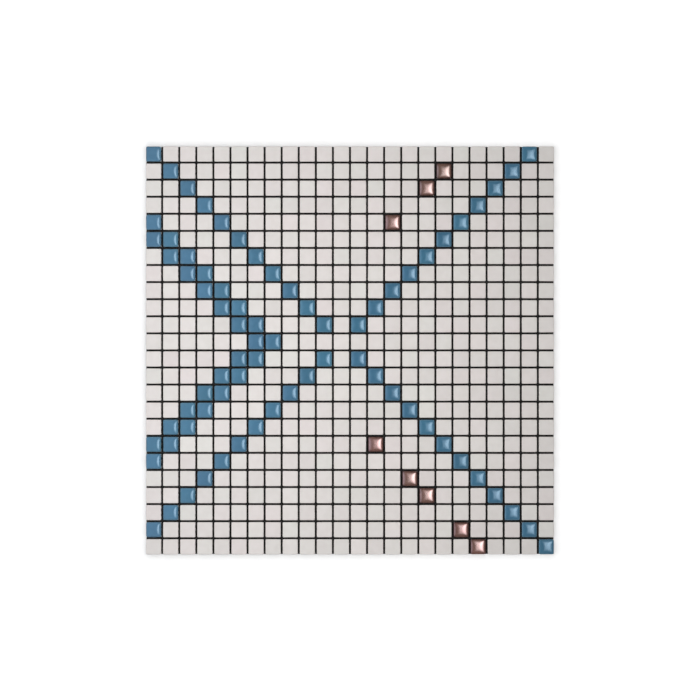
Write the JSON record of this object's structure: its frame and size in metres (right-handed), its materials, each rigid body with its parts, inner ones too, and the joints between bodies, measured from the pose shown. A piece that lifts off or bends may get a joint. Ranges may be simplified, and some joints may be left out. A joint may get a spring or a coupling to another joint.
{
  "type": "ceramic mosaic tile sheet",
  "caption": "Square sheet of small ceramic tiles on an open backing net, flat matt white crossed by diagonals of glossy blue and copper pillow tiles, for bonding to a wall or floor.",
  "frame": {"origin": "middle of the sheet, on the underside of its backing net", "axes": "+Z out of the tiles' faces; rows of tiles run along X and the first row is at +Y; columns run along Y and the first column is at -X"},
  "size_m": [0.2986, 0.2986, 0.0068],
  "materials": {
    "white_matt_tile": "matte",
    "blue_glaze": "gloss",
    "copper_lustre": "polished",
    "net_strand": "matte"
  },
  "bodies": {
    "root": {"white_tiles": "white_matt_tile", "blue_tiles": "blue_glaze", "copper_tiles": "copper_lustre", "net_warp_strands": "net_strand", "net_weft_strands": "net_strand"}
  },
  "joints": []
}
